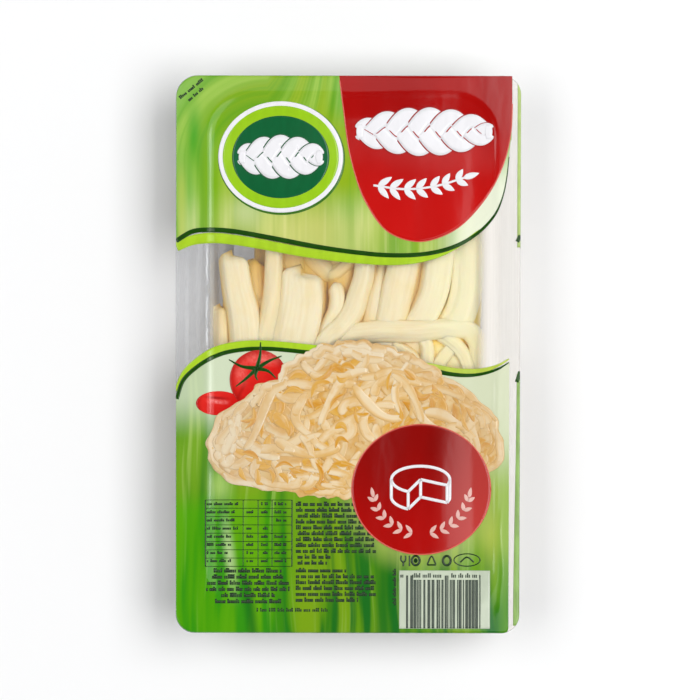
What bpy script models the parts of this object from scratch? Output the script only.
"""Sealed pack of braided string cheese, lying on its base with the printed lid up.

Three pieces: a clear formed tray with a sealing flange, the bundle of cheese strands laid
lengthwise in it, and the lid film that closes it. Metres, +Z up. The origin is under the middle
of the pack, on the surface it rests on; +X is to the right of the print, +Y to its top edge.
"""

import math

import bpy
import numpy as np

# Driving dimensions of the whole pack
PACK_WIDTH = 0.1105
PACK_LENGTH = 0.179
PACK_HEIGHT = 0.0207
CORNER_RADIUS = 0.006

# Clear tray: the flange that the lid is sealed to, and the formed hollow inside it
SHEET = 0.0005
FLANGE_LEFT = 0.0099
FLANGE_RIGHT = 0.0071
FLANGE_TOP = 0.0053
FLANGE_BOTTOM = 0.0062
HOLLOW_CORNER_RADIUS = 0.014
RIM_RADIUS = 0.0012
FLOOR_FILLET = 0.005
DRAFT = math.radians(7)

# Lid film, sealed flat on the flange and dipping over the hollow
LID_THICKNESS = 0.0004
LID_DIP = 0.0007
LID_DIP_REACH = 0.009

# Bundle of strands
BUNDLE_CLEARANCE = 0.0003
BUNDLE_SIDE_GAP = 0.0042
BUNDLE_END_GAP = 0.0060
BUNDLE_TOP = 0.0182
BUNDLE_WIDEST_AT = 0.0085
STRAND_PITCH = 0.0078
STRAND_GROOVE = 0.0016
STRAND_LEAN = 0.10
STRAND_SWAY = 0.0016
SIDE_WAVER = 0.0008
END_WAVER = 0.0022
TOP_WAVER = 0.0007

# Gap kept between pieces that touch, and the fineness of round shapes
TOUCHING_GAP = 0.0003
ARC_STEPS = 6
BUNDLE_TOP_POINTS = 45
BUNDLE_BASE_POINTS = 11
BUNDLE_SECTIONS = 27

FLANGE_UPPER = PACK_HEIGHT - LID_THICKNESS - TOUCHING_GAP
LID_UNDER = PACK_HEIGHT - LID_THICKNESS
OUTLINE = (-PACK_WIDTH / 2, PACK_WIDTH / 2, -PACK_LENGTH / 2, PACK_LENGTH / 2)
HOLLOW = (
    OUTLINE[0] + FLANGE_LEFT,
    OUTLINE[1] - FLANGE_RIGHT,
    OUTLINE[2] + FLANGE_BOTTOM,
    OUTLINE[3] - FLANGE_TOP,
)


def clear_scene():
    for obj in list(bpy.data.objects):
        bpy.data.objects.remove(obj)


def principled(name, colour, roughness, alpha=1.0):
    """A plain non-metallic finish."""
    material = bpy.data.materials.new(name)
    material.use_nodes = True
    shader = material.node_tree.nodes["Principled BSDF"]
    shader.inputs["Base Color"].default_value = (*colour, 1.0)
    shader.inputs["Roughness"].default_value = roughness
    shader.inputs["Metallic"].default_value = 0.0
    shader.inputs["Alpha"].default_value = alpha
    return material


def rounded_ring(sides, radius, z):
    """A rounded rectangle at height z, anticlockwise: each corner is a quarter circle."""
    left, right, front, back = sides
    centres = (
        (right - radius, back - radius),
        (left + radius, back - radius),
        (left + radius, front + radius),
        (right - radius, front + radius),
    )
    turn = np.linspace(0, math.pi / 2, ARC_STEPS + 1)
    corners = []
    for quarter, (x, y) in enumerate(centres):
        angle = turn + quarter * math.pi / 2
        height = np.full_like(angle, z)
        corners.append(np.stack([x + radius * np.cos(angle), y + radius * np.sin(angle), height], 1))
    return np.concatenate(corners)


def hollow_ring(inset, z):
    """The hollow's outline drawn in by inset, at height z."""
    left, right, front, back = HOLLOW
    sides = (left + inset, right - inset, front + inset, back - inset)
    return rounded_ring(sides, HOLLOW_CORNER_RADIUS - inset, z)


def loft(name, rings, material):
    """A closed body through a row of rings with equally many points, with a flat cap at each end."""
    count = len(rings[0])
    points = np.concatenate(rings)
    faces = [list(reversed(range(count)))]
    for level in range(len(rings) - 1):
        low = level * count
        for i in range(count):
            j = (i + 1) % count
            faces.append([low + i, low + j, low + count + j, low + count + i])
    faces.append(list(range(len(points) - count, len(points))))
    mesh = bpy.data.meshes.new(name)
    mesh.from_pydata(points.tolist(), [], faces)
    mesh.materials.append(material)
    mesh.shade_smooth()
    mesh.set_sharp_from_angle(angle=math.radians(40))
    obj = bpy.data.objects.new(name, mesh)
    bpy.context.scene.collection.objects.link(obj)
    return obj


def wall_profile(skin):
    """(inset, z) down the tray's wall, on the inner face (skin 0) or the outer one (skin SHEET).

    A quarter round over the rim, a straight wall leaning in by DRAFT, and a quarter round into
    the floor; both rounds keep their centres, so the two faces stay one sheet apart.
    """
    rim_z = FLANGE_UPPER - RIM_RADIUS
    floor_z = SHEET + FLOOR_FILLET
    lean = (FLOOR_FILLET + RIM_RADIUS - (floor_z - rim_z) * math.sin(DRAFT)) / math.cos(DRAFT)
    rim = np.linspace(math.pi / 2, DRAFT, 4)
    floor = np.linspace(DRAFT, math.pi / 2, 6)
    inset = np.concatenate(
        [(RIM_RADIUS - skin) * np.cos(rim), lean - (FLOOR_FILLET + skin) * np.cos(floor)]
    )
    z = np.concatenate(
        [rim_z + (RIM_RADIUS - skin) * np.sin(rim), floor_z - (FLOOR_FILLET + skin) * np.sin(floor)]
    )
    return list(zip(inset, z))


def make_tray():
    """Up the outside from the base, round the flange, and down the inside to the floor."""
    rings = [hollow_ring(inset, z) for inset, z in reversed(wall_profile(SHEET))]
    rings.append(rounded_ring(OUTLINE, CORNER_RADIUS, FLANGE_UPPER - SHEET))
    rings.append(rounded_ring(OUTLINE, CORNER_RADIUS, FLANGE_UPPER))
    rings += [hollow_ring(inset, z) for inset, z in wall_profile(0.0)]
    return loft("tray", rings, principled("clear_sheet", (0.90, 0.92, 0.93), 0.12, alpha=0.35))


def make_lid_film():
    """Flat on the flange, then a smooth dip of LID_DIP over LID_DIP_REACH inside the hollow."""
    steps = np.linspace(0, 1, 5)
    dip = LID_DIP * steps**2 * (3 - 2 * steps)
    levels = list(zip(steps * LID_DIP_REACH, dip))
    lower = [hollow_ring(inset, LID_UNDER - fall) for inset, fall in reversed(levels)]
    upper = [hollow_ring(inset, PACK_HEIGHT - fall) for inset, fall in levels]
    edge = [rounded_ring(OUTLINE, CORNER_RADIUS, z) for z in (LID_UNDER, PACK_HEIGHT)]
    return loft("lid_film", lower + edge + upper, principled("printed_film", (0.30, 0.50, 0.06), 0.25))


def bulge(share, power):
    """1 in the middle, falling to 0 at share -1 and 1 along a superellipse."""
    return (1 - np.abs(share) ** power) ** (1 / power)


def strand_grooves(x, y):
    """Depth of the valleys between strands that lean and sway as they run along the pack."""
    drift = STRAND_LEAN * y + STRAND_SWAY * np.sin(70 * y + 55 * x)
    return STRAND_GROOVE * (1 - np.abs(np.sin(math.pi * (x - drift) / STRAND_PITCH)) ** 0.7)


def make_cheese():
    """Cross-sections along the pack: a ridged top over a rounded base, closing in at both ends.

    Slow waves make the sides, the ends and the top as uneven as strands laid in by hand.
    """
    left, right, front, back = HOLLOW
    middle_x = (left + right) / 2
    middle_y = (front + back) / 2
    half_width = (right - left) / 2 - BUNDLE_SIDE_GAP
    half_length = (back - front) / 2 - BUNDLE_END_GAP
    rise = BUNDLE_TOP - BUNDLE_WIDEST_AT
    fall = BUNDLE_WIDEST_AT - SHEET - BUNDLE_CLEARANCE
    over = np.sin(np.linspace(-math.pi / 2, math.pi / 2, BUNDLE_TOP_POINTS))
    over = 0.35 * over + 0.65 * np.linspace(-1, 1, BUNDLE_TOP_POINTS)
    under = np.linspace(1, -1, BUNDLE_BASE_POINTS + 2)[1:-1]
    across = np.concatenate([over, under])
    rings = []
    for along in np.sin(np.linspace(-1.52, 1.52, BUNDLE_SECTIONS)):
        straight_y = middle_y + half_length * along
        width = half_width - SIDE_WAVER * (1 + math.sin(8 * along + 1))
        x = middle_x + width * bulge(along, 7) * across
        y = straight_y - END_WAVER * along**9 * (1 + np.sin(150 * x)) / 2
        closing = bulge(along, 4)
        crest = rise - TOP_WAVER * (1 + np.sin(60 * straight_y) * np.sin(80 * x[: len(over)]))
        groove = strand_grooves(x[: len(over)], straight_y) * bulge(over, 2)
        top = crest * closing * bulge(over, 4) - groove
        base = -fall * closing * bulge(under, 5)
        z = BUNDLE_WIDEST_AT + np.concatenate([top, base])
        rings.append(np.stack([x, y, z], 1))
    return loft("cheese", rings, principled("cheese", (0.87, 0.78, 0.50), 0.45))


clear_scene()
make_tray()
make_cheese()
make_lid_film()
